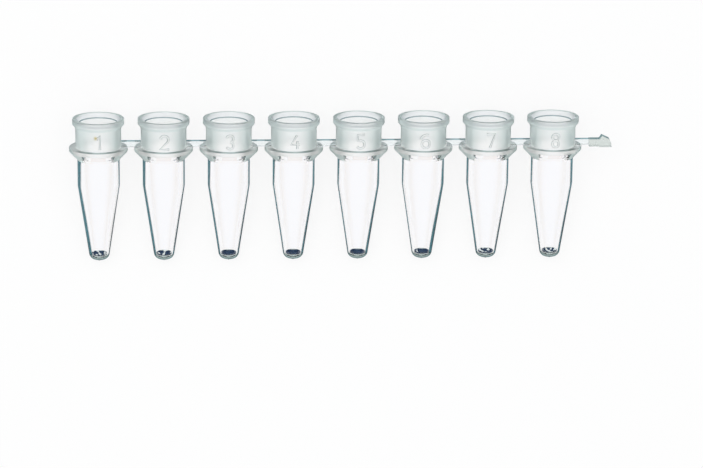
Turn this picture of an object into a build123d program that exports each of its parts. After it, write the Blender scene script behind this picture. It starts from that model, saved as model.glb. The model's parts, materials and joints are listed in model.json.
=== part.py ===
"""A strip of eight small conical reaction tubes, moulded in one piece with its webs and end tab.

Millimetres. Each tube is drawn upright first, its tip at the origin and its mouth up +Z, with the
front of the strip facing -Y. The finished strip then lies on its back: the tubes run along the X
axis, the mouths point to +Y, and the strip rests on the edges of its flanges and on its tips.
"""
import math
import os

from build123d import *

# The row of tubes
TUBE_COUNT = 8
PITCH = 9.0

# Heights of a tube's stretches, from the tip up to the mouth
CONE_HEIGHT = 10.74
BODY_HEIGHT = 5.45
NECK_HEIGHT = 2.84
RIM_CHAMFER_HEIGHT = 0.48
RIM_HEIGHT = 0.74

# Bore and walls, all measured square to the tube's axis, and how much the bore narrows down to the cone
SEAT_RADIUS = 2.62
BORE_DRAFT = 0.04
NECK_WALL = 0.53
BODY_WALL = 0.29

# Mouth: the rim's overhang and the lead-in that guides a cap into the seat
RIM_OVERHANG = 0.42
LEAD_IN_WIDTH = 0.48
LEAD_IN_DEPTH = 0.62

# Flange and the shoulder that carries it
FLANGE_OVERHANG = 0.89
FLANGE_THICKNESS = 0.52
SHOULDER_HEIGHT = 1.20

# Pockets in the front and the back of the shoulder, each side of a middle rib
RIB_WIDTH = 2.0
POCKET_WIDTH = 0.9
POCKET_HEIGHT = 0.71

# Tip, solid base and gate mark
TIP_RADIUS = 1.30
TIP_CORNER = 0.90
BASE_THICKNESS = 0.45
BOWL_DEPTH = 0.38
GATE_RADIUS = 0.42
GATE_HEIGHT = 0.26

# Web between the tubes, on top of the flanges
WEB_HEIGHT = 0.82
WEB_THICKNESS = 0.85

# End tab: how far from the last neck each stretch reaches, and its thickness
TAB_THICKNESS = 1.15
TAB_REACH = 1.94
GRIP_LENGTH = 1.45
GRIP_DEPTH = 0.22
BARB_LENGTH = 1.70
BARB_RISE = 0.50
BARB_RUN = 0.32
BARB_SLOPE_LENGTH = 1.05
BARB_CORNER_DROP = 0.52
BARB_DEPTH = 0.30
BARB_END_TAPER = 0.10

# Places that follow from the sizes above
CONE_Z = CONE_HEIGHT
FLANGE_Z = CONE_Z + BODY_HEIGHT
NECK_Z = FLANGE_Z + NECK_HEIGHT
RIM_Z = NECK_Z + RIM_CHAMFER_HEIGHT
MOUTH_Z = RIM_Z + RIM_HEIGHT
BODY_RADIUS = SEAT_RADIUS + BODY_WALL
NECK_RADIUS = SEAT_RADIUS + NECK_WALL
RIM_RADIUS = NECK_RADIUS + RIM_OVERHANG
FLANGE_RADIUS = NECK_RADIUS + FLANGE_OVERHANG
CONE_SLOPE = (BODY_RADIUS - TIP_RADIUS) / CONE_HEIGHT
CONE_ANGLE = math.atan(CONE_SLOPE)
TIP_FLAT = TIP_RADIUS + TIP_CORNER * CONE_SLOPE - TIP_CORNER / math.cos(CONE_ANGLE)
CAVITY_FLOOR_Z = BASE_THICKNESS + BOWL_DEPTH
STRIP_LENGTH = (TUBE_COUNT - 1) * PITCH


def cone_radius(height):
    """Outside radius of the cone at a height above the tip."""
    return TIP_RADIUS + height * CONE_SLOPE


def revolved(lines):
    """Turn a closed half section, drawn in the XZ plane, into a solid about Z."""
    return revolve(Plane.XZ * make_face(lines), Axis.Z)


def tube_outside():
    """Solid envelope of one tube: tip, cone, body, shoulder, flange, neck and rim."""
    gate = Line((0, -GATE_HEIGHT), (GATE_RADIUS, 0))
    base = Line(gate @ 1, (TIP_FLAT, 0))
    corner = JernArc(base @ 1, (1, 0), TIP_CORNER, 90 - math.degrees(CONE_ANGLE))
    flange_underside = FLANGE_Z - FLANGE_THICKNESS
    wall = Polyline(
        corner @ 1,
        (BODY_RADIUS, CONE_Z),
        (BODY_RADIUS, flange_underside - SHOULDER_HEIGHT),
        (FLANGE_RADIUS, flange_underside),
        (FLANGE_RADIUS, FLANGE_Z),
        (NECK_RADIUS, FLANGE_Z),
        (NECK_RADIUS, NECK_Z),
        (RIM_RADIUS, RIM_Z),
        (RIM_RADIUS, MOUTH_Z),
        (0, MOUTH_Z),
    )
    axis = Line((0, MOUTH_Z), (0, -GATE_HEIGHT))
    return revolved([gate, base, corner, wall, axis])


def tube_inside():
    """The cavity of one tube: bowl, cone, drafted bore, cap seat and lead-in."""
    floor_radius = cone_radius(CAVITY_FLOOR_Z) - BODY_WALL
    bowl_radius = (floor_radius**2 + BOWL_DEPTH**2) / (2 * BOWL_DEPTH)
    bowl_turn = math.degrees(math.asin(floor_radius / bowl_radius))
    bowl = JernArc((0, BASE_THICKNESS), (1, 0), bowl_radius, bowl_turn)
    wall = Polyline(
        bowl @ 1,
        (SEAT_RADIUS - BORE_DRAFT, CONE_Z),
        (SEAT_RADIUS, FLANGE_Z),
        (SEAT_RADIUS, MOUTH_Z - LEAD_IN_DEPTH),
        (SEAT_RADIUS + LEAD_IN_WIDTH, MOUTH_Z),
        (0, MOUTH_Z),
    )
    axis = Line((0, MOUTH_Z), (0, BASE_THICKNESS))
    return revolved([bowl, wall, axis])


def shoulder_pockets():
    """The four pockets under one flange, each side of the ribs at the front and the back."""
    floor_z = FLANGE_Z - FLANGE_THICKNESS - POCKET_HEIGHT
    profile = Circle(2 * FLANGE_RADIUS) - Circle(BODY_RADIUS)
    ring = Pos(0, 0, floor_z) * extrude(profile, POCKET_HEIGHT)
    middle = (RIB_WIDTH + POCKET_WIDTH) / 2
    slots = [
        Pos(side * middle, 0, floor_z + POCKET_HEIGHT / 2)
        * Box(POCKET_WIDTH, 4 * FLANGE_RADIUS, POCKET_HEIGHT)
        for side in (-1, 1)
    ]
    return [slot & ring for slot in slots]


def web():
    """The bar that runs through every neck, on top of the flanges, out to the tab's grip."""
    length = STRIP_LENGTH + NECK_RADIUS + TAB_REACH
    bar = Box(length, WEB_THICKNESS, WEB_HEIGHT, align=(Align.MIN, Align.CENTER, Align.MIN))
    return Pos(0, 0, FLANGE_Z) * bar


def end_tab():
    """The thicker grip beyond the last tube, and the barb that ends it."""
    start = STRIP_LENGTH + NECK_RADIUS + TAB_REACH
    top = FLANGE_Z + WEB_HEIGHT
    barb = start + GRIP_LENGTH
    end = barb + BARB_LENGTH
    outline = Polyline(
        (start, FLANGE_Z - GRIP_DEPTH),
        (start, top),
        (barb, top),
        (barb + BARB_RUN, top + BARB_RISE),
        (barb + BARB_RUN + BARB_SLOPE_LENGTH, top),
        (end - BARB_END_TAPER, top - BARB_CORNER_DROP),
        (end, FLANGE_Z - BARB_DEPTH),
        (barb, FLANGE_Z - BARB_DEPTH),
        (barb, FLANGE_Z - GRIP_DEPTH),
        close=True,
    )
    return extrude(Plane.XZ * make_face(outline), TAB_THICKNESS / 2, both=True)


def resting_lean():
    """Angle between a tube's axis and the table when the flange's edge and the tip touch it."""
    reach = FLANGE_RADIUS - TIP_FLAT
    rise = FLANGE_Z - FLANGE_THICKNESS - TIP_CORNER
    return math.degrees(math.atan2(reach, rise) - math.asin(TIP_CORNER / math.hypot(reach, rise)))


def tube_strip():
    """The whole moulding, upright."""
    places = [Pos(index * PITCH, 0, 0) for index in range(TUBE_COUNT)]
    outside = tube_outside() - shoulder_pockets()
    cavity = tube_inside()
    strip = web() + end_tab() + [place * outside for place in places]
    return strip - [place * cavity for place in places]


def laid_down(solid):
    """Lay the strip on its back, centred over the origin, with its lowest points at z = 0."""
    lying = Rot(resting_lean() - 90, 0, 0) * solid
    box = lying.bounding_box()
    return Pos(-box.center().X, -box.center().Y, -box.min.Z) * lying


os.makedirs("parts", exist_ok=True)
export_step(laid_down(tube_strip()), "parts/tube_strip.step")
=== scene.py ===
"""The looks of a strip of eight clear reaction tubes with frosted collars, lying on a pale table.

The strip is one moulding. Each tube is modelled upright in millimetres, its tip at the origin and its
mouth up +Z, with the numbered front facing -Y. The tubes, the web and the end tab are fused and then
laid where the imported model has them, in metres.
"""
import json
import logging
import math
from dataclasses import dataclass, field
from enum import Enum

import bmesh
import bpy
from mathutils import Matrix, Vector, noise


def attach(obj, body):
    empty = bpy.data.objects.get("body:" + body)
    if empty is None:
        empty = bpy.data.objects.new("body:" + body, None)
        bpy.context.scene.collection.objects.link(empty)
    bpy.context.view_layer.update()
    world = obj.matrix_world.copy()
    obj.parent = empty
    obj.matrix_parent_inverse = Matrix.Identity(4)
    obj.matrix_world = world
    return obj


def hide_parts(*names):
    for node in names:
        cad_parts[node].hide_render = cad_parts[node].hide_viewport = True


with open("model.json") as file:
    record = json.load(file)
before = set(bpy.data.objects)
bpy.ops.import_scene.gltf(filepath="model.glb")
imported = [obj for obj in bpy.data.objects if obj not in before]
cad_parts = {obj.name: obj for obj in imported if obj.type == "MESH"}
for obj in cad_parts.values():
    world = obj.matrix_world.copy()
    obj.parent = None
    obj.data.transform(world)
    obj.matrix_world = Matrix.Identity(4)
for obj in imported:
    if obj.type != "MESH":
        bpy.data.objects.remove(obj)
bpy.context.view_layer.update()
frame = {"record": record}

LOG = logging.getLogger("tube_strip")

NODE = "tube_strip"
# The mesh attribute that holds each point's painted shade strength, which the finishes read
PAINTED_SHADE_ATTRIBUTE = "painted_shade"

MM = 0.001
X_AXIS = Vector((1, 0, 0))

# Facets of a full turn, steps of a rounded edge, the angle from which a ring is rounded, and the
# angle from which an edge is shaded hard
ROUND_STEPS = 96
BEVEL_SEGMENTS = 2
BEVEL_ANGLE = math.radians(24)
SHARP_ANGLE = math.radians(20)

# Distances in millimetres under which points are one, places are level, and a point is on the axis
MERGE = 1e-4
LEVEL = 1e-3
ON_AXIS = 1e-6

# How far in millimetres a surface reaches past one that it meets, and a cutter past what it cuts
SKIN = 0.01
CLEARANCE = 1.0

# The part of a normal along an axis from which a face counts as flat, or as a pocket's side wall
FLAT_NORMAL = 0.95
WALL_NORMAL = 0.5

# The sockets of a Mix node that mixes colours
MIX_FACTOR, MIX_A, MIX_B, MIX_RESULT = 0, 6, 7, 2


class Finish(Enum):
    """Which finish of the moulding a face has, as its material index."""

    WALL = 0
    BORE = 1
    BOWL = 2
    TIP = 3
    COLLAR = 4
    EDGE = 5
    NUMBER = 6
    FLANGE = 7
    POCKET = 8
    WEB = 9
    SEAT = 10
    LEAD_IN = 11
    LEDGE = 12
    TAB = 13
    SEAM = 14
    RIB = 15


# -------------------------------- mesh helpers


def new_object(name: str, bm: bmesh.types.BMesh) -> bpy.types.Object:
    """Make an object from a bmesh and free the bmesh.

    Args:
        name: The object's name.
        bm: The mesh to store.

    Returns:
        The new object, linked to the scene.
    """
    mesh = bpy.data.meshes.new(name)
    bm.to_mesh(mesh)
    bm.free()
    piece = bpy.data.objects.new(name, mesh)
    bpy.context.scene.collection.objects.link(piece)
    return piece


def remove_object(piece: bpy.types.Object) -> None:
    """Delete an object and its data."""
    data = piece.data
    bpy.data.objects.remove(piece)
    if isinstance(data, bpy.types.Mesh):
        bpy.data.meshes.remove(data)
    else:
        bpy.data.curves.remove(data)


def combine(target: bpy.types.Object, tools: list[bpy.types.Object], how: str) -> None:
    """Fuse tools to the target, or cut them from it, and delete them.

    Args:
        target: The object that changes.
        tools: Closed meshes, which are taken one after another.
        how: UNION, DIFFERENCE or INTERSECT.
    """
    for tool in tools:
        modifier = target.modifiers.new("combine", "BOOLEAN")
        modifier.operation = how
        modifier.solver = "EXACT"
        modifier.object = tool
        apply_modifiers(target)
        remove_object(tool)


def apply_modifiers(piece: bpy.types.Object) -> None:
    """Bake an object's modifiers into its mesh."""
    bpy.context.view_layer.update()
    graph = bpy.context.evaluated_depsgraph_get()
    baked = bpy.data.meshes.new_from_object(piece.evaluated_get(graph))
    piece.modifiers.clear()
    old = piece.data
    piece.data = baked
    bpy.data.meshes.remove(old)


def arc(centre: Vector, radius: float, start: float, end: float, steps: int) -> list[Vector]:
    """Points along an arc in the XZ plane.

    Args:
        centre: The arc's centre.
        radius: Its radius.
        start: The first point's angle from +X towards +Z, in degrees.
        end: The last point's angle.
        steps: How many stretches the arc is cut into.

    Returns:
        steps + 1 points.
    """
    turns = [math.radians(start + (end - start) * step / steps) for step in range(steps + 1)]
    return [centre + Vector((math.cos(t), 0, math.sin(t))) * radius for t in turns]


def spun(section: list[Vector], closed: bool = False) -> bmesh.types.BMesh:
    """Turn a half section in the XZ plane into a closed shell about the Z axis.

    Args:
        section: The section's points in order. An open section has both its ends on the axis.
        closed: Whether the last point joins the first, as in a ring.

    Returns:
        The shell, its faces pointing outwards.
    """
    bm = bmesh.new()
    verts = [bm.verts.new(point) for point in section]
    ends = verts[1:] + verts[:1] if closed else verts[1:]
    edges = [bm.edges.new(pair) for pair in zip(verts, ends)]
    bmesh.ops.spin(
        bm, geom=verts + edges, cent=(0, 0, 0), axis=(0, 0, 1), dvec=(0, 0, 0), angle=math.tau,
        steps=ROUND_STEPS, use_merge=True, use_normal_flip=False, use_duplicate=False,
    )
    bmesh.ops.remove_doubles(bm, verts=bm.verts, dist=MERGE)
    bmesh.ops.recalc_face_normals(bm, faces=bm.faces)
    return bm


def block(low: Vector, high: Vector) -> bmesh.types.BMesh:
    """Make a closed box between two corners."""
    bm = bmesh.new()
    bmesh.ops.create_cube(bm, size=1.0)
    bmesh.ops.scale(bm, vec=high - low, verts=bm.verts)
    bmesh.ops.translate(bm, vec=(high + low) / 2, verts=bm.verts)
    return bm


def soften(bm: bmesh.types.BMesh, edges: list[bmesh.types.BMEdge], width: float) -> None:
    """Round edges over.

    Args:
        bm: The mesh that changes.
        edges: Its edges to round.
        width: How far the rounding reaches from an edge, in the mesh's own units.
    """
    bmesh.ops.bevel(
        bm, geom=edges, offset=width, offset_type="OFFSET", segments=BEVEL_SEGMENTS, profile=0.5,
        affect="EDGES", clamp_overlap=True, material=-1,
    )


def smooth(value: float, low: float, high: float) -> float:
    """Ease from 0 at low to 1 at high."""
    share = min(max((value - low) / (high - low), 0.0), 1.0)
    return share * share * (3 - 2 * share)


# -------------------------------- the moulding


@dataclass
class Tube:
    """One tube of the strip: sizes in millimetres, heights measured from the tip."""

    cone_height: float = 10.74
    body_height: float = 5.45
    neck_height: float = 2.84
    rim_chamfer_height: float = 0.48
    rim_height: float = 0.74
    seat_radius: float = 2.62
    bore_draft: float = 0.04
    neck_wall: float = 0.53
    body_wall: float = 0.29
    rim_overhang: float = 0.42
    lead_in_width: float = 0.48
    lead_in_depth: float = 0.62
    flange_overhang: float = 0.89
    flange_thickness: float = 0.52
    shoulder_height: float = 1.20
    tip_radius: float = 1.30
    tip_corner: float = 0.90
    tip_steps: int = 9
    base_thickness: float = 0.45
    bowl_depth: float = 0.38
    bowl_steps: int = 7
    gate_radius: float = 0.42
    gate_height: float = 0.26
    bead_height: float = 0.30
    bead_depth: float = 0.035
    bead_slope: float = 3.0
    edge_rounding: float = 0.06
    seat_rounding: float = 0.09
    rib_width: float = 2.0
    pocket_width: float = 0.9
    pocket_height: float = 0.71
    pocket_splay: float = 0.38
    splay_start: float = 0.75

    # How far finishes reach past the features that they belong to, and the ledge's width as a
    # share of the distance from the axis
    mouth_margin: float = 0.2
    seam_margin: float = 0.07
    seam_inset: float = 0.02
    bowl_margin: float = 0.05
    rib_margin: float = 0.3
    lip_margin: float = 0.1
    ledge_share: float = 0.66

    def __post_init__(self) -> None:
        """Work out the places and radii that follow from the sizes."""
        self.flange_z = self.cone_height + self.body_height
        self.neck_z = self.flange_z + self.neck_height
        self.rim_z = self.neck_z + self.rim_chamfer_height
        self.mouth_z = self.rim_z + self.rim_height
        self.seat_z = self.mouth_z - self.lead_in_depth
        self.body_radius = self.seat_radius + self.body_wall
        self.neck_radius = self.seat_radius + self.neck_wall
        self.rim_radius = self.neck_radius + self.rim_overhang
        self.flange_radius = self.neck_radius + self.flange_overhang
        self.slope = (self.body_radius - self.tip_radius) / self.cone_height
        self.flange_underside = self.flange_z - self.flange_thickness
        self.shoulder_foot = self.flange_underside - self.shoulder_height
        self.pocket_floor = self.flange_underside - self.pocket_height
        self.bowl_top = self.base_thickness + self.bowl_depth
        self.bowl_rim = self.tip_radius + self.bowl_top * self.slope - self.body_wall

    def shoulder_radius(self, height: float) -> float:
        """The shoulder's outer radius at a height above the tip."""
        share = (height - self.shoulder_foot) / self.shoulder_height
        return self.body_radius + share * (self.flange_radius - self.body_radius)

    def outside(self) -> list[Vector]:
        """The outer half section.

        Returns:
            Its points, from the gate mark up to the rim's inner edge.
        """
        angle = math.atan(self.slope)
        flat = self.tip_radius + self.tip_corner * self.slope - self.tip_corner / math.cos(angle)
        centre = Vector((flat, 0, self.tip_corner))
        corner = arc(centre, self.tip_corner, -90, -math.degrees(angle), self.tip_steps)
        bead_radius = self.neck_radius + self.bead_depth
        bead_z = self.neck_z - self.bead_height
        steps = [
            (self.body_radius, self.cone_height),
            (self.body_radius, self.shoulder_foot),
            (self.shoulder_radius(self.pocket_floor), self.pocket_floor),
            (self.flange_radius, self.flange_underside),
            (self.flange_radius, self.flange_z),
            (self.neck_radius, self.flange_z),
            (self.neck_radius, bead_z),
            (bead_radius, bead_z + self.bead_slope * self.bead_depth),
            (bead_radius, self.neck_z),
            (self.rim_radius, self.rim_z),
            (self.rim_radius, self.mouth_z),
        ]
        gate = [Vector((0, 0, -self.gate_height)), Vector((self.gate_radius, 0, 0))]
        return gate + corner + [Vector((radius, 0, height)) for radius, height in steps]

    def inside(self) -> list[Vector]:
        """The inner half section.

        Returns:
            Its points, from the mouth's edge down to the middle of the bowl.
        """
        bowl_radius = (self.bowl_rim**2 + self.bowl_depth**2) / (2 * self.bowl_depth)
        turn = math.degrees(math.asin(self.bowl_rim / bowl_radius))
        centre = Vector((0, 0, self.base_thickness + bowl_radius))
        steps = [
            (self.seat_radius + self.lead_in_width, self.mouth_z),
            (self.seat_radius, self.seat_z),
            (self.seat_radius, self.flange_z),
            (self.seat_radius - self.bore_draft, self.cone_height),
        ]
        bowl = arc(centre, bowl_radius, -90 + turn, -90, self.bowl_steps)
        return [Vector((radius, 0, height)) for radius, height in steps] + bowl

    def shell(self) -> bmesh.types.BMesh:
        """The tube without its pockets.

        Returns:
            A closed shell, its hard rings slightly rounded and its finishes assigned.
        """
        bm = spun(self.outside() + self.inside())
        rings = [
            edge for edge in bm.edges
            if len(edge.link_faces) == 2 and edge.calc_face_angle(0.0) > BEVEL_ANGLE
            and abs(edge.verts[0].co.z - edge.verts[1].co.z) < MERGE
            and edge.verts[0].co.xy.length > self.gate_radius * 2
        ]
        seat = [edge for edge in rings if abs(edge.verts[0].co.z - self.seat_z) < LEVEL]
        soften(bm, [edge for edge in rings if edge not in seat], self.edge_rounding)
        soften(bm, [edge for edge in seat if edge.is_valid], self.seat_rounding)
        for face in bm.faces:
            face.material_index = self.finish_at(face).value
        return bm

    def finish_at(self, face: bmesh.types.BMFace) -> Finish:
        """Which finish a face of the shell has.

        Args:
            face: The face.

        Returns:
            The finish of the mouth's edges, the lead-in, the outside, the bowl or the bore.
        """
        middle = face.calc_center_median()
        height, radius = middle.z, middle.xy.length
        tall = max(vert.co.z for vert in face.verts) - min(vert.co.z for vert in face.verts)
        narrow = tall < 2 * self.edge_rounding and abs(face.normal.z) < FLAT_NORMAL
        if narrow and height > self.neck_z + self.mouth_margin:
            return Finish.SEAT if radius < self.seat_radius + self.mouth_margin else Finish.EDGE
        if height > self.seat_z and radius < self.seat_radius + self.lead_in_width:
            return Finish.LEAD_IN
        inner_radius = min(self.seat_radius, self.tip_radius + height * self.slope - self.body_wall)
        if radius > inner_radius + self.body_wall / 2 or height < self.base_thickness:
            return self.outer_finish(abs(middle.x), radius, height)
        return Finish.BOWL if height < self.bowl_top else Finish.BORE

    def outer_finish(self, across: float, reach: float, height: float) -> Finish:
        """Which finish the outside has: a frosted collar, a satin flange and clear walls.

        Args:
            across: A point's distance from the axis along the row.
            reach: Its whole distance from the axis.
            height: Its height above the tip.

        Returns:
            The finish at that point.
        """
        if self.seam_level(height) and reach < self.flange_radius - self.seam_inset:
            return Finish.SEAM
        if height > self.flange_z + SKIN:
            return Finish.COLLAR
        if height > self.shoulder_foot - SKIN:
            if height < self.pocket_floor and across < self.ledge_share * reach:
                return Finish.LEDGE
            below_lip = height < self.flange_underside - self.lip_margin
            on_rib = below_lip and across < self.rib_width / 2 + self.rib_margin
            return Finish.RIB if on_rib else Finish.FLANGE
        return Finish.TIP if height < self.bowl_top else Finish.WALL

    def seam_level(self, height: float) -> bool:
        """Whether a height is that of the flange's top, where the collar stands on it."""
        return abs(height - self.flange_z) < self.seam_margin

    def on_bowl(self, reach: float, height: float) -> bool:
        """Whether a point of the shell, at a distance from the axis and a height, is on the bowl."""
        level = self.base_thickness - SKIN < height < self.bowl_top + SKIN
        return level and reach < self.bowl_rim + self.bowl_margin

    def pocket_cutters(self) -> list[bpy.types.Object]:
        """The blocks that leave the shoulder's four pockets.

        Returns:
            Closed meshes, which follow the body's wall on their inner side.
        """
        low, high = self.pocket_floor, self.flange_underside
        inner, outer = self.body_radius + SKIN, 2 * self.flange_radius
        corners = [(inner, low), (outer, low), (outer, high), (inner, high)]
        ring = spun([Vector((radius, 0, height)) for radius, height in corners], closed=True)
        for face in ring.faces:
            face.material_index = Finish.LEDGE.value
        first = self.rib_width / 2
        cutters = []
        for side in (-1, 1):
            for front in (-1, 1):
                xs = sorted((side * first, side * (first + self.pocket_width)))
                ys = sorted((0.0, front * 2 * outer))
                start = Vector((xs[0], ys[0], low - CLEARANCE))
                end = Vector((xs[1], ys[1], high + CLEARANCE))
                slot = new_object("pocket", self.splayed(block(start, end), side))
                combine(slot, [new_object("ring", ring.copy())], "INTERSECT")
                cutters.append(slot)
        ring.free()
        return cutters

    def splayed(self, bm: bmesh.types.BMesh, side: int) -> bmesh.types.BMesh:
        """Turn a pocket block's outer wall a little towards the front, and give it its own dark finish,
        which is painted shade.

        Args:
            bm: The block.
            side: 1 for a pocket on the +X side of the axis, -1 for one on the other.

        Returns:
            The same block.
        """
        outer = self.rib_width / 2 + self.pocket_width
        for vert in bm.verts:
            if abs(vert.co.x) > outer - MERGE:
                depth = abs(vert.co.y) - self.body_radius * self.splay_start
                vert.co.x = side * (outer + self.pocket_splay * depth)
        bm.normal_update()
        for face in bm.faces:
            is_wall = face.normal.x * side > WALL_NORMAL
            face.material_index = (Finish.POCKET if is_wall else Finish.LEDGE).value
        return bm


@dataclass
class RaisedNumber:
    """A collar's number, as thin raised strokes bent round the neck. Sizes in millimetres."""

    height: float = 1.92
    width: float = 1.30
    stroke_radius: float = 0.16
    stroke_steps: int = 2
    foot_z: float = 16.60
    centre_x: float = 0.08
    loop_points: int = 12
    loop_gap: float = 3.0

    def strokes(self, digit: int) -> list[list[Vector]]:
        """The centre lines of a digit's strokes in the XZ plane, its foot at zero and its middle at x = 0.

        Args:
            digit: The number, from 1 to 8.

        Returns:
            One list of points for each stroke.
        """
        h, w = self.height, self.width / 2
        small = h * 0.25
        belly = h * 0.29
        upper_eye, lower_eye = Vector((0, 0, h - small)), Vector((0, 0, small))
        upper_bow, lower_bow = Vector((0, 0, h - belly)), Vector((0, 0, belly))

        def at(x: float, z: float) -> Vector:
            """A point given in half widths and whole heights."""
            return Vector((x * w, 0, z * h))

        shapes = {
            1: [[at(-0.45, 0.74), at(0.25, 1.0), at(0.25, 0.0)]],
            2: [arc(upper_bow, belly, 165, -35, 10) + [at(-0.95, 0.0), at(1.0, 0.0)]],
            3: [arc(upper_eye, small, 160, -80, 10), arc(lower_eye, small, 85, -160, 10)],
            4: [[at(0.35, 1.0), at(-0.9, 0.3), at(0.95, 0.3)], [at(0.45, 0.55), at(0.45, 0.0)]],
            5: [[at(0.85, 1.0), at(-0.6, 1.0), at(-0.65, 0.58)] + arc(lower_bow, belly, 110, -150, 11)],
            6: [arc(lower_bow, belly, 0, 360, 18)[:-1], arc(at(0.16, 0.56), h * 0.42, 70, 170, 8)],
            7: [[at(-0.9, 1.0), at(0.9, 1.0), at(-0.15, 0.0)]],
            8: [arc(eye, small * 0.96, 90, 450, 16)[:-1] for eye in (upper_eye, lower_eye)],
        }
        return shapes[digit]

    def pieces(self, digit: int, neck_radius: float) -> list[bpy.types.Object]:
        """The digit's strokes, half sunk in the neck's front.

        Args:
            digit: The number.
            neck_radius: The radius of the cylinder that it is bent round.

        Returns:
            One closed mesh for each stroke.
        """
        return [self.stroke(points, neck_radius) for points in self.strokes(digit)]

    def is_loop(self, points: list[Vector]) -> bool:
        """Whether a stroke runs back to its start."""
        gap = (points[0] - points[-1]).length
        return len(points) > self.loop_points and gap < self.loop_gap * self.stroke_radius

    def stroke(self, points: list[Vector], neck_radius: float) -> bpy.types.Object:
        """One round stroke, bent round the neck.

        Args:
            points: Its centre line.
            neck_radius: The neck's radius.

        Returns:
            The stroke's closed mesh.
        """
        curve = bpy.data.curves.new("stroke", "CURVE")
        curve.dimensions = "3D"
        curve.bevel_depth = self.stroke_radius
        curve.bevel_resolution = self.stroke_steps
        curve.use_fill_caps = True
        spline = curve.splines.new("POLY")
        spline.points.add(len(points) - 1)
        for target, point in zip(spline.points, points):
            target.co = (*point, 1.0)
        spline.use_cyclic_u = self.is_loop(points)
        holder = bpy.data.objects.new("stroke", curve)
        bpy.context.scene.collection.objects.link(holder)
        bpy.context.view_layer.update()
        graph = bpy.context.evaluated_depsgraph_get()
        mesh = bpy.data.meshes.new_from_object(holder.evaluated_get(graph))
        remove_object(holder)
        bm = bmesh.new()
        bm.from_mesh(mesh)
        bpy.data.meshes.remove(mesh)
        bmesh.ops.remove_doubles(bm, verts=bm.verts, dist=MERGE)
        bmesh.ops.recalc_face_normals(bm, faces=bm.faces)
        for vert in bm.verts:
            across, depth, up = vert.co
            turn = (across + self.centre_x) / neck_radius
            radius = neck_radius - depth
            vert.co = (radius * math.sin(turn), -radius * math.cos(turn), up + self.foot_z)
        for face in bm.faces:
            face.material_index = Finish.NUMBER.value
        return new_object("stroke", bm)


@dataclass
class Web:
    """The bars between the necks and the tab beyond the last one. Sizes in millimetres."""

    height: float = 0.82
    thickness: float = 0.85
    sunk: float = 0.25
    bar_rounding: float = 0.06
    tab_thickness: float = 1.15
    tab_reach: float = 1.94
    tab_overlap: float = 0.3
    tab_rounding: float = 0.08
    grip_length: float = 1.45
    grip_depth: float = 0.22
    barb_length: float = 1.70
    barb_rise: float = 0.50
    barb_run: float = 0.32
    barb_slope_length: float = 1.05
    barb_corner_drop: float = 0.52
    barb_depth: float = 0.30
    barb_end_taper: float = 0.10

    def bar(self, start: float, end: float, foot: float) -> bpy.types.Object:
        """A bar along X, its long edges rounded.

        Args:
            start: Where it begins along X.
            end: Where it ends.
            foot: The height of its underside.

        Returns:
            The bar as a closed mesh.
        """
        low = Vector((start, -self.thickness / 2, foot))
        high = Vector((end, self.thickness / 2, foot + self.height))
        bm = block(low, high)
        long_edges = [edge for edge in bm.edges if abs(edge.verts[0].co.x - edge.verts[1].co.x) > LEVEL]
        soften(bm, long_edges, self.bar_rounding)
        for face in bm.faces:
            face.material_index = Finish.WEB.value
        return new_object("bar", bm)

    def tab(self, start: float, foot: float) -> bpy.types.Object:
        """The thick grip and its barb.

        Args:
            start: Where the grip begins along X.
            foot: The height of the web's underside.

        Returns:
            The tab as a closed mesh.
        """
        top = foot + self.height
        barb = start + self.grip_length
        end = barb + self.barb_length
        outline = [
            (start, foot - self.grip_depth), (start, top), (barb, top),
            (barb + self.barb_run, top + self.barb_rise),
            (barb + self.barb_run + self.barb_slope_length, top),
            (end - self.barb_end_taper, top - self.barb_corner_drop),
            (end, foot - self.barb_depth), (barb, foot - self.barb_depth),
            (barb, foot - self.grip_depth),
        ]
        bm = bmesh.new()
        verts = [bm.verts.new((x, -self.tab_thickness / 2, z)) for x, z in outline]
        side = bm.faces.new(verts)
        grown = bmesh.ops.extrude_face_region(bm, geom=[side])
        moved = [item for item in grown["geom"] if isinstance(item, bmesh.types.BMVert)]
        bmesh.ops.translate(bm, vec=(0, self.tab_thickness, 0), verts=moved)
        bmesh.ops.recalc_face_normals(bm, faces=bm.faces)
        soften(bm, list(bm.edges), self.tab_rounding)
        for face in bm.faces:
            face.material_index = Finish.TAB.value
        return new_object("tab", bm)


@dataclass
class Placement:
    """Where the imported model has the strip: each tube's tip, and the direction from tip to mouth."""

    tips: list[Vector]
    axis: Vector

    @classmethod
    def from_record(cls, tube: Tube, record: dict) -> "Placement":
        """Read the seats' middles and their shared direction.

        Args:
            tube: The tube's sizes, which say how high above the tip a seat's middle is.
            record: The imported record.

        Returns:
            The placement.
        """
        seats = [mount for mount in record["mounts"] if mount["kind"] == "bore"]
        axis = Vector(seats[0]["axis"]).normalized()
        middle = (tube.seat_z - seats[0]["dims"]["length_mm"] / 2) * MM
        return cls([Vector(seat["pos_m"]) - axis * middle for seat in seats], axis)

    @property
    def pitch(self) -> float:
        """The distance between neighbouring tubes, in millimetres."""
        return (self.tips[1] - self.tips[0]).length / MM

    def matrix(self) -> Matrix:
        """Where the upright strip goes.

        Returns:
            The matrix that takes it, in millimetres from the first tip, to its place in metres.
        """
        back = -X_AXIS.cross(self.axis)
        turn = Matrix((X_AXIS, back, self.axis)).transposed().to_4x4()
        return Matrix.Translation(self.tips[0]) @ turn @ Matrix.Scale(MM, 4)

    def point(self, index: int, x: float, y: float, z: float) -> Vector:
        """A point near one tube, given in that upright tube's millimetres, in metres."""
        return self.matrix() @ Vector((x + index * self.pitch, y, z))


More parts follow.
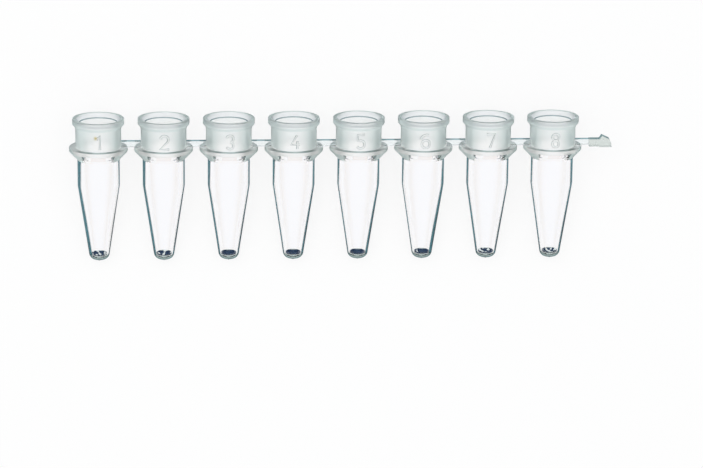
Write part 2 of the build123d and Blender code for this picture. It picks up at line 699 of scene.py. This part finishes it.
@dataclass(frozen=True)
class PaintedFlankShade:
    """How strongly painted shade darkens parts of each tube, from the first tube to the last."""

    # Painted shade on the walls' sides: each tube's strength on its left and right, in the body and in the
    # cone
    body_left: tuple[float, ...] = (1.0, 0.92, 0.90, 0.85, 0.80, 0.76, 0.80, 0.75)
    body_right: tuple[float, ...] = (0.68, 0.69, 0.71, 0.74, 0.72, 0.74, 0.72, 0.84)
    cone_left: tuple[float, ...] = (0.95, 0.88, 0.80, 0.69, 0.68, 0.63, 0.79, 0.70)
    cone_right: tuple[float, ...] = (0.62, 0.74, 0.75, 0.86, 0.90, 1.0, 0.77, 0.82)
    cone_blend: tuple[float, float] = (-1.0, 1.5)
    # Painted shade that grows darker towards the tip
    tip_shade_gain: float = 0.30
    side_fade: tuple[float, float] = (0.35, 0.65)
    seam_fade: tuple[float, float] = (0.45, 0.95)
    # Painted highlights: where the noise falls under a tube's share, its bowl's dark painted shade is left
    # out in clear flecks
    bowl_highlight_flecks: tuple[float, ...] = (0.28, 0.25, -1.0, -1.0, -1.0, 0.02, 0.29, 0.25)
    highlight_fleck_scale: float = 2.4
    highlight_fleck_middle: float = 0.5

    def in_bowl(self, index: int, point: Vector) -> float:
        """The painted shade at a point of one tube's bowl: 1, or 0 in the painted highlight flecks that
        some bowls have.
        """
        value = self.highlight_fleck_middle + noise.noise(point * self.highlight_fleck_scale)
        return 0.0 if value < self.bowl_highlight_flecks[index] else 1.0

    def on_seam(self, depth: float, reach: float) -> float:
        """The painted shade on the flange's top: 1 at the front, fading to 0 at the sides and the back."""
        return smooth(-depth / reach, *self.seam_fade)

    def on_wall(self, index: int, across: float, depth: float, height: float, cone_height: float) -> float:
        """The painted shade at a point of one tube's wall.

        Args:
            index: Which tube, from 0.
            across: The point's distance to the right of the tube's axis.
            depth: Its distance behind the axis.
            height: Its height above the tip.
            cone_height: Where the cone ends and the body begins.

        Returns:
            From 0 at the front and the back to the tube's own painted shade strength at its sides.
        """
        body = (self.body_left if across < 0 else self.body_right)[index]
        cone = (self.cone_left if across < 0 else self.cone_right)[index]
        below, above = self.cone_blend
        strength = cone + (body - cone) * smooth(height, cone_height + below, cone_height + above)
        strength *= 1 + self.tip_shade_gain * max(1 - height / cone_height, 0.0)
        reach = math.hypot(across, depth)
        return strength * smooth(abs(across) / reach, *self.side_fade) if reach > ON_AXIS else 0.0


@dataclass
class Strip:
    """The whole moulding."""

    placement: Placement
    tube: Tube = field(default_factory=Tube)
    web: Web = field(default_factory=Web)
    number: RaisedNumber = field(default_factory=RaisedNumber)
    painted_shades: PaintedFlankShade = field(default_factory=PaintedFlankShade)

    def build(self) -> bpy.types.Object:
        """Model the strip as one closed mesh in its place.

        Returns:
            The finished object.
        """
        plain = new_object("tube", self.tube.shell())
        combine(plain, self.tube.pocket_cutters(), "DIFFERENCE")
        tubes = [self.numbered(plain, index) for index in range(len(self.placement.tips))]
        remove_object(plain)
        strip = tubes[0]
        strip.name = strip.data.name = "moulded_strip"
        for index, tube in enumerate(tubes[1:]):
            combine(strip, [self.link(index), tube], "UNION")
        last_side = self.placement.pitch * (len(tubes) - 1) + self.tube.neck_radius
        tab_start = last_side + self.web.tab_reach
        bar_end = tab_start + self.web.tab_overlap
        bar = self.web.bar(last_side - self.web.sunk, bar_end, self.tube.flange_z - SKIN)
        combine(strip, [bar, self.web.tab(tab_start, self.tube.flange_z)], "UNION")
        self.mark_painted_shade(strip)
        strip.data.transform(self.placement.matrix())
        self.shade(strip)
        return strip

    def numbered(self, plain: bpy.types.Object, index: int) -> bpy.types.Object:
        """A copy of the plain tube with its number, at its place in the row.

        Args:
            plain: The tube without a number, at the row's first place.
            index: Which tube the copy becomes, from 0.

        Returns:
            The new tube.
        """
        tube = bpy.data.objects.new("tube", plain.data.copy())
        bpy.context.scene.collection.objects.link(tube)
        combine(tube, self.number.pieces(index + 1, self.tube.neck_radius), "UNION")
        tube.data.transform(Matrix.Translation((index * self.placement.pitch, 0, 0)))
        return tube

    def link(self, index: int) -> bpy.types.Object:
        """The web's bar between a tube and the next, its ends inside both necks' walls."""
        start = index * self.placement.pitch + self.tube.neck_radius - self.web.sunk
        end = (index + 1) * self.placement.pitch - self.tube.neck_radius + self.web.sunk
        return self.web.bar(start, end, self.tube.flange_z)

    def mark_painted_shade(self, strip: bpy.types.Object) -> None:
        """Store each point's painted shade strength, which the finishes read.

        Args:
            strip: The strip, still upright and in millimetres.
        """
        values = []
        for vert in strip.data.vertices:
            x, y, z = vert.co
            index = min(max(round(x / self.placement.pitch), 0), len(self.placement.tips) - 1)
            across = x - index * self.placement.pitch
            reach = math.hypot(across, y)
            if self.tube.on_bowl(reach, z):
                values.append(self.painted_shades.in_bowl(index, vert.co))
            elif reach > self.tube.neck_radius - SKIN and self.tube.seam_level(z):
                values.append(self.painted_shades.on_seam(y, reach))
            else:
                values.append(self.painted_shades.on_wall(index, across, y, z, self.tube.cone_height))
        strip.data.attributes.new(PAINTED_SHADE_ATTRIBUTE, "FLOAT", "POINT").data.foreach_set("value", values)

    def shade(self, strip: bpy.types.Object) -> None:
        """Shade the curved walls smooth and keep the edges.

        Args:
            strip: The strip in its place, in metres.
        """
        bm = bmesh.new()
        bm.from_mesh(strip.data)
        bmesh.ops.remove_doubles(bm, verts=bm.verts, dist=MERGE * MM)
        bmesh.ops.dissolve_degenerate(bm, edges=bm.edges, dist=MERGE * MM)
        for face in bm.faces:
            face.smooth = True
        for edge in bm.edges:
            edge.smooth = len(edge.link_faces) == 2 and edge.calc_face_angle(0.0) < SHARP_ANGLE
        bm.to_mesh(strip.data)
        bm.free()


# -------------------------------- finishes


def add_node(
    tree: bpy.types.NodeTree, kind: str, values: dict | None = None, **settings: object
) -> bpy.types.Node:
    """Add a node, set its properties and then its unlinked sockets.

    Args:
        tree: The node tree.
        kind: The node's type name, without the ShaderNode at its front.
        values: The sockets' values by name or number.
        settings: The node's properties.

    Returns:
        The node.
    """
    node = tree.nodes.new(f"ShaderNode{kind}")
    for name, value in settings.items():
        setattr(node, name, value)
    for name, value in (values or {}).items():
        node.inputs[name].default_value = value
    return node


def wire(
    tree: bpy.types.NodeTree, *links: tuple[bpy.types.Node, str | int, bpy.types.Node, str | int]
) -> None:
    """Link nodes.

    Args:
        tree: The node tree.
        links: Each link's first node, that node's output, its second node and that node's input.
    """
    for source, output, target, entry in links:
        tree.links.new(source.outputs[output], target.inputs[entry])


def open_group(
    name: str, inputs: dict[str, str], outputs: dict[str, str]
) -> tuple[bpy.types.NodeTree, bpy.types.Node, bpy.types.Node]:
    """Start a node group.

    Args:
        name: The group's name.
        inputs: The kind of each input socket by its name.
        outputs: The kind of each output socket by its name.

    Returns:
        The group's tree, its input node and its output node.
    """
    tree = bpy.data.node_groups.new(name, "ShaderNodeTree")
    for label, kind in inputs.items():
        tree.interface.new_socket(label, in_out="INPUT", socket_type=f"NodeSocket{kind}")
    for label, kind in outputs.items():
        tree.interface.new_socket(label, in_out="OUTPUT", socket_type=f"NodeSocket{kind}")
    return tree, tree.nodes.new("NodeGroupInput"), tree.nodes.new("NodeGroupOutput")


class SharedEffects:
    """The node groups that the finishes share."""

    # How much the facing value is held back where the painted shade strength is low, so that the painted
    # edge shade stays away there
    OFF_FLANK = 0.6

    # The fine grain's detail, and the slow mottle's scale per metre and detail
    FINE_DETAIL = 3.0
    MOTTLE_SCALE = 420.0
    MOTTLE_DETAIL = 2.0

    def __init__(self) -> None:
        """Make each group once."""
        self.painted_edge_shade = self._painted_edge_shade()
        self.grain = self._grain()
        self.spot = self._spot()

    @classmethod
    def _painted_edge_shade(cls) -> bpy.types.NodeTree:
        """Painted edge shade: a colour that turns to the darker edge colour where the surface is seen edge
        on and the painted shade strength is high.

        Returns:
            The group.
        """
        inputs = {
            "Facing": "Float", "Flank": "Float", "Start": "Float", "End": "Float",
            "Colour": "Color", "Edge Colour": "Color",
        }
        tree, given, out = open_group("painted_edge_shade", inputs, {"Colour": "Color"})
        held = add_node(tree, "Math", {0: 1.0}, operation="SUBTRACT")
        moved = add_node(tree, "Math", {1: cls.OFF_FLANK}, operation="MULTIPLY")
        facing = add_node(tree, "Math", operation="SUBTRACT")
        ramp = add_node(tree, "MapRange", interpolation_type="SMOOTHSTEP")
        mix = add_node(tree, "Mix", data_type="RGBA")
        wire(
            tree, (given, "Flank", held, 1), (held, 0, moved, 0), (given, "Facing", facing, 0),
            (moved, 0, facing, 1), (facing, 0, ramp, "Value"), (given, "Start", ramp, "From Min"),
            (given, "End", ramp, "From Max"), (ramp, "Result", mix, MIX_FACTOR),
            (given, "Colour", mix, MIX_A), (given, "Edge Colour", mix, MIX_B),
            (mix, MIX_RESULT, out, "Colour"),
        )
        return tree

    @classmethod
    def _grain(cls) -> bpy.types.NodeTree:
        """The surface's fine grain as a normal, and a slow mottle from 0 to 1.

        Returns:
            The group.
        """
        tree, given, out = open_group(
            "moulding_grain", {"Place": "Vector", "Scale": "Float", "Depth": "Float"},
            {"Normal": "Vector", "Mottle": "Float"})
        fine = add_node(tree, "TexNoise", {"Detail": cls.FINE_DETAIL})
        slow = add_node(tree, "TexNoise", {"Scale": cls.MOTTLE_SCALE, "Detail": cls.MOTTLE_DETAIL})
        bump = add_node(tree, "Bump")
        wire(
            tree, (given, "Place", fine, "Vector"), (given, "Place", slow, "Vector"),
            (given, "Scale", fine, "Scale"), (given, "Depth", bump, "Distance"),
            (fine, "Fac", bump, "Height"), (bump, "Normal", out, "Normal"),
            (slow, "Fac", out, "Mottle"),
        )
        return tree

    @staticmethod
    def _spot() -> bpy.types.NodeTree:
        """A colour with a small soft spot of another colour around a point.

        Returns:
            The group.
        """
        inputs = {
            "Place": "Vector", "Centre": "Vector", "Radius": "Float", "Colour": "Color", "Stain": "Color",
        }
        tree, given, out = open_group("stain", inputs, {"Colour": "Color"})
        away = add_node(tree, "VectorMath", operation="DISTANCE")
        ramp = add_node(tree, "MapRange", {"To Min": 1.0, "To Max": 0.0}, interpolation_type="SMOOTHSTEP")
        mix = add_node(tree, "Mix", data_type="RGBA")
        wire(
            tree, (given, "Place", away, 0), (given, "Centre", away, 1), (away, "Value", ramp, "Value"),
            (given, "Radius", ramp, "From Max"), (ramp, "Result", mix, MIX_FACTOR),
            (given, "Colour", mix, MIX_A), (given, "Stain", mix, MIX_B),
            (mix, MIX_RESULT, out, "Colour"),
        )
        return tree


@dataclass(frozen=True)
class Stain:
    """The small yellow speck beside the first number: sizes in millimetres, a linear colour."""

    across: float = -0.36
    height: float = 18.2
    radius: float = 0.42
    colour: tuple[float, float, float] = (0.55, 0.42, 0.08)

    def place(self, placement: Placement, neck_radius: float) -> Vector:
        """Its middle on the first neck's front, in metres."""
        return placement.point(0, self.across, -neck_radius, self.height)


@dataclass(frozen=True)
class Plastic:
    """A finish of the moulding's polypropylene. Colours are linear, depths in metres, scales per metre."""

    name: str
    colour: tuple[float, float, float]
    # The edge colour is painted shade, which the colour turns to where the surface is seen edge on, over
    # the given range of facing values
    edge_shade_colour: tuple[float, float, float]
    edge_shade_range: tuple[float, float]
    roughness: tuple[float, float]
    transmission: float = 1.0
    grain_scale: float = 300.0
    grain_depth: float = 0.00001
    ior: float = 1.49
    sheen: tuple[float, float, float] = (1.0, 1.0, 1.0)
    mottle_range: tuple[float, float] = (0.3, 0.7)
    reads_painted_shade: bool = False
    stained: bool = False

    def material(self, effects: SharedEffects, stain: Stain, stain_place: Vector) -> bpy.types.Material:
        """Build the finish's material.

        Args:
            effects: The shared node groups.
            stain: The speck that some finishes have.
            stain_place: The speck's middle, in metres.

        Returns:
            The material.
        """
        material = bpy.data.materials.new(self.name)
        material.use_nodes = True
        tree = material.node_tree
        shader = tree.nodes["Principled BSDF"]
        shader.inputs["IOR"].default_value = self.ior
        shader.inputs["Transmission Weight"].default_value = self.transmission
        shader.inputs["Specular Tint"].default_value = (*self.sheen, 1)
        place = add_node(tree, "TexCoord")
        grain = add_node(
            tree, "Group", {"Scale": self.grain_scale, "Depth": self.grain_depth}, node_tree=effects.grain)
        ends = zip(("From Min", "From Max", "To Min", "To Max"), self.mottle_range + self.roughness)
        gloss = add_node(tree, "MapRange", dict(ends))
        weight = add_node(tree, "LayerWeight")
        start, end = self.edge_shade_range
        edge_shade_inputs = {
            "Flank": 1.0, "Start": start, "End": end,
            "Colour": (*self.colour, 1), "Edge Colour": (*self.edge_shade_colour, 1),
        }
        # Painted shade: the colour darkens to the edge colour where the surface is seen edge on
        edge_shade = add_node(tree, "Group", edge_shade_inputs, node_tree=effects.painted_edge_shade)
        wire(
            tree, (place, "Object", grain, "Place"), (grain, "Normal", shader, "Normal"),
            (grain, "Mottle", gloss, "Value"), (gloss, "Result", shader, "Roughness"),
            (weight, "Facing", edge_shade, "Facing"),
        )
        # Painted shade strength from the mesh, on the finishes that read it
        if self.reads_painted_shade:
            painted_shade = add_node(tree, "Attribute", attribute_name=PAINTED_SHADE_ATTRIBUTE, attribute_type="GEOMETRY")
            wire(tree, (painted_shade, "Fac", edge_shade, "Flank"))
        coloured = edge_shade
        if self.stained:
            values = {"Centre": stain_place, "Radius": stain.radius * MM, "Stain": (*stain.colour, 1)}
            coloured = add_node(tree, "Group", values, node_tree=effects.spot)
            wire(tree, (place, "Object", coloured, "Place"), (edge_shade, "Colour", coloured, "Colour"))
        wire(tree, (coloured, "Colour", shader, "Base Color"))
        return material


# Colours, reflections, ranges of roughness and grain scales that several finishes share
CLEAR = (0.99, 0.99, 1.0)
COOL = (0.25, 0.42, 0.65)
GLOSSY = (0.01, 0.03)
SATIN = (0.12, 0.20)
FROSTED = (0.34, 0.42)
FINE_GRAIN = 9000.0
SATIN_GRAIN = 5000.0
COARSE_GRAIN = 1500.0

# Each finish's second colour is painted shade, taken on where the surface is seen edge on: dark lines at
# the walls' sides, the web's top and the collars' edges
FINISHES = {
    # The walls' near-black edge colour on their sides is painted shade, strongest where the mesh's painted
    # shade strength is high
    Finish.WALL: Plastic(
        "clear_wall", CLEAR, (0.004, 0.036, 0.050), (0.43, 0.55), GLOSSY, sheen=COOL, reads_painted_shade=True),
    Finish.BORE: Plastic(
        "bore_wall", CLEAR, (0.80, 0.85, 0.88), (0.85, 1.0), GLOSSY, sheen=COOL),
    # The bowl is painted near black wherever it is not seen face on: painted shade, with painted highlight
    # flecks left clear
    Finish.BOWL: Plastic(
        "bowl", CLEAR, (0.0002, 0.0008, 0.005), (0.0, 0.2), GLOSSY, ior=1.15, sheen=COOL, reads_painted_shade=True),
    # The tip's darker grey-green colour is painted shade
    Finish.TIP: Plastic(
        "tip", (0.56, 0.68, 0.66), (0.04, 0.09, 0.09), (0.20, 0.60), (0.10, 0.22), sheen=COOL),
    Finish.COLLAR: Plastic(
        "frosted_collar", (0.955, 0.985, 0.975), (0.80, 0.90, 0.88), (0.04, 0.34), FROSTED,
        0.8, FINE_GRAIN, ior=1.38, stained=True),
    Finish.EDGE: Plastic(
        "collar_edge", (0.92, 0.97, 0.96), (0.66, 0.76, 0.75), (0.30, 0.80), FROSTED,
        0.8, FINE_GRAIN, ior=1.3),
    # The numbers' dark outlines, where the strokes' round sides are seen edge on, are painted shade
    Finish.NUMBER: Plastic(
        "raised_number", (0.92, 0.955, 0.945), (0.08, 0.16, 0.155), (0.04, 0.54), (0.30, 0.38),
        0.8, FINE_GRAIN, stained=True),
    Finish.FLANGE: Plastic(
        "satin_flange", (0.88, 0.885, 0.865), (0.74, 0.88, 0.85), (0.30, 0.75), (0.34, 0.44),
        0.85, SATIN_GRAIN, ior=1.35),
    # The pockets' outer walls are painted dark: painted shade in the recesses
    Finish.POCKET: Plastic(
        "pocket_wall_painted_shade", (0.20, 0.30, 0.29), (0.10, 0.17, 0.17), (0.30, 0.90), (0.28, 0.38),
        0.5, SATIN_GRAIN),
    Finish.WEB: Plastic(
        "clear_web", (0.88, 0.92, 0.93), (0.10, 0.24, 0.28), (0.55, 0.68), (0.08, 0.18),
        0.95, SATIN_GRAIN, ior=1.3),
    Finish.TAB: Plastic(
        "hazy_tab", (0.70, 0.75, 0.725), (0.08, 0.17, 0.19), (0.45, 0.68), (0.15, 0.35),
        0.9, COARSE_GRAIN, 0.00004, ior=1.3),
    Finish.LEAD_IN: Plastic(
        "lead_in", (0.95, 0.95, 0.985), (0.84, 0.86, 0.92), (0.50, 1.0), (0.30, 0.40),
        0.85, SATIN_GRAIN, ior=1.2),
    Finish.LEDGE: Plastic(
        "pocket_ledge", (0.98, 0.97, 0.965), (0.93, 0.94, 0.94), (0.50, 1.0), SATIN,
        1.0, SATIN_GRAIN, ior=1.06),
    # The flange's top, where the collar stands on it, is painted dark at the front and fades at the sides
    # and back: painted shade
    Finish.SEAM: Plastic(
        "collar_seam_painted_shade", (0.93, 0.985, 0.98), (0.26, 0.37, 0.35), (0.15, 0.72), (0.30, 0.40),
        0.8, SATIN_GRAIN, ior=1.3, reads_painted_shade=True),
    # The rib's warm pinkish colour is a painted reflection
    Finish.RIB: Plastic(
        "pocket_rib_painted_reflection", (0.90, 0.84, 0.81), (0.88, 0.84, 0.82), (0.50, 1.0), SATIN,
        1.0, SATIN_GRAIN, ior=1.06),
    # The dark ring at the foot of each mouth's lead-in is painted shade
    Finish.SEAT: Plastic(
        "seat_edge_painted_shade", (0.16, 0.24, 0.27), (0.06, 0.12, 0.14), (0.20, 0.70), (0.10, 0.20), 0.8),
}


# -------------------------------- the room


@dataclass
class Studio:
    """The table, the light and the camera.

    Angles are in degrees. look_x, look_z, lens and sensor are in millimetres, other lengths in
    metres. Colours are linear.
    """

    placement: Placement
    turn: float = -3.64
    rise: float = 16.77
    roll: float = 0.65
    distance: float = 0.500
    lens: float = 183.3
    sensor: float = 36.0
    clip_start: float = 0.01
    look_x: float = 1.55
    look_z: float = 3.35
    floor_radius: float = 0.6
    floor_steps: int = 128
    floor_bounce: tuple[float, float, float] = (0.36, 0.42, 0.44)
    floor_seen: tuple[float, float, float] = (0.86, 0.86, 0.86)
    glow_seen: float = 0.84
    glow_through: float = 0.95
    lamp_place: tuple[float, float, float] = (-0.25, 0.2, 0.7)
    lamp_size: float = 0.5
    lamp_power: float = 0.92
    room_low: tuple[float, float, float] = (0.04, 0.09, 0.12)
    room_high: tuple[float, float, float] = (1.17, 1.17, 1.17)
    room_range: tuple[float, float] = (0.05, 0.75)

    def camera(self) -> None:
        """Set up the camera, looking at the numbered front from a little above the mouths' plane."""
        turn, rise, roll = (math.radians(a) for a in (self.turn, self.rise, self.roll))
        toward = Vector((math.sin(turn) * math.cos(rise), -math.cos(turn) * math.cos(rise), math.sin(rise)))
        across = Vector((0, 0, 1)).cross(toward).normalized()
        up = toward.cross(across)
        level = math.cos(roll) * across + math.sin(roll) * up
        upright = -math.sin(roll) * across + math.cos(roll) * up
        lay = self.placement.matrix().to_3x3() * (1 / MM)
        axes = [lay @ v for v in (level, upright, toward)]
        middle = self.placement.matrix() @ Vector((0, 0, self.look_z))
        target = Vector((self.look_x * MM, middle.y, middle.z))
        data = bpy.data.cameras.new("camera")
        data.lens = self.lens
        data.sensor_width = self.sensor
        data.clip_start = self.clip_start
        camera = bpy.data.objects.new("camera", data)
        bpy.context.scene.collection.objects.link(camera)
        rotation = Matrix(axes).transposed().to_4x4()
        camera.matrix_world = Matrix.Translation(target + axes[2] * self.distance) @ rotation
        bpy.context.scene.camera = camera

    def floor(self) -> None:
        """Lay the pale round table top.

        It glows a little where it is seen, also through the plastic, and is a plain duller surface
        to all other light.
        """
        bm = bmesh.new()
        bmesh.ops.create_circle(bm, cap_ends=True, segments=self.floor_steps, radius=self.floor_radius)
        floor = new_object("floor", bm)
        material = bpy.data.materials.new("pale_table")
        material.use_nodes = True
        tree = material.node_tree
        tree.nodes.clear()
        out = add_node(tree, "OutputMaterial")
        matt = add_node(tree, "BsdfDiffuse")
        glow = add_node(tree, "Emission")
        mix = add_node(tree, "MixShader")
        path = add_node(tree, "LightPath")
        seen = add_node(tree, "Math", operation="MAXIMUM")
        tones = {MIX_A: (*self.floor_bounce, 1), MIX_B: (*self.floor_seen, 1)}
        tone = add_node(tree, "Mix", tones, data_type="RGBA")
        near = add_node(tree, "Math", {1: self.glow_seen}, operation="MULTIPLY")
        share = add_node(tree, "Math", {1: self.glow_through}, operation="MULTIPLY_ADD")
        wire(
            tree, (path, "Is Camera Ray", seen, 0), (path, "Is Transmission Ray", seen, 1),
            (seen, 0, tone, MIX_FACTOR), (tone, MIX_RESULT, matt, "Color"),
            (path, "Is Camera Ray", near, 0), (path, "Is Transmission Ray", share, 0),
            (near, 0, share, 2), (share, 0, mix, 0), (matt, 0, mix, 1), (glow, 0, mix, 2),
            (mix, 0, out, "Surface"),
        )
        floor.data.materials.append(material)

    def lights(self) -> None:
        """Set up one wide soft lamp overhead, and a room that is dim low down and bright above."""
        data = bpy.data.lights.new("softbox", "AREA")
        data.shape = "DISK"
        data.size = self.lamp_size
        data.energy = self.lamp_power
        lamp = bpy.data.objects.new("softbox", data)
        lamp.location = self.lamp_place
        lamp.rotation_euler = Vector(self.lamp_place).to_track_quat("Z", "Y").to_euler()
        bpy.context.scene.collection.objects.link(lamp)
        world = bpy.data.worlds.new("room")
        bpy.context.scene.world = world
        world.use_nodes = True
        tree = world.node_tree
        tree.nodes.clear()
        out = add_node(tree, "OutputWorld")
        room = add_node(tree, "Background")
        place = add_node(tree, "TexCoord")
        split = add_node(tree, "SeparateXYZ")
        start, end = self.room_range
        ramp = add_node(
            tree, "MapRange", {"From Min": start, "From Max": end}, interpolation_type="SMOOTHSTEP")
        tones = {MIX_A: (*self.room_low, 1), MIX_B: (*self.room_high, 1)}
        shade = add_node(tree, "Mix", tones, data_type="RGBA")
        white = add_node(tree, "Background", {"Color": (1, 1, 1, 1)})
        mix = add_node(tree, "MixShader")
        path = add_node(tree, "LightPath")
        wire(
            tree, (place, "Generated", split, 0), (split, 2, ramp, "Value"),
            (ramp, "Result", shade, MIX_FACTOR), (shade, MIX_RESULT, room, "Color"),
            (path, "Is Camera Ray", mix, 0), (room, 0, mix, 1), (white, 0, mix, 2),
            (mix, 0, out, "Surface"),
        )


def main() -> None:
    """Build the strip and the studio, and hand the pieces to the frame."""
    logging.basicConfig(level=logging.INFO, format="%(message)s")
    bpy.context.scene.view_settings.view_transform = "Standard"
    tube = Tube()
    placement = Placement.from_record(tube, frame["record"])
    strip = Strip(placement, tube).build()
    effects = SharedEffects()
    stain = Stain()
    stain_place = stain.place(placement, tube.neck_radius)
    for finish in Finish:
        strip.data.materials.append(FINISHES[finish].material(effects, stain, stain_place))
    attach(strip, "root")
    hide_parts(NODE)
    LOG.info("%s: %d faces", strip.name, len(strip.data.polygons))
    studio = Studio(placement)
    studio.floor()
    studio.lights()
    studio.camera()


if __name__ == "__main__":
    main()
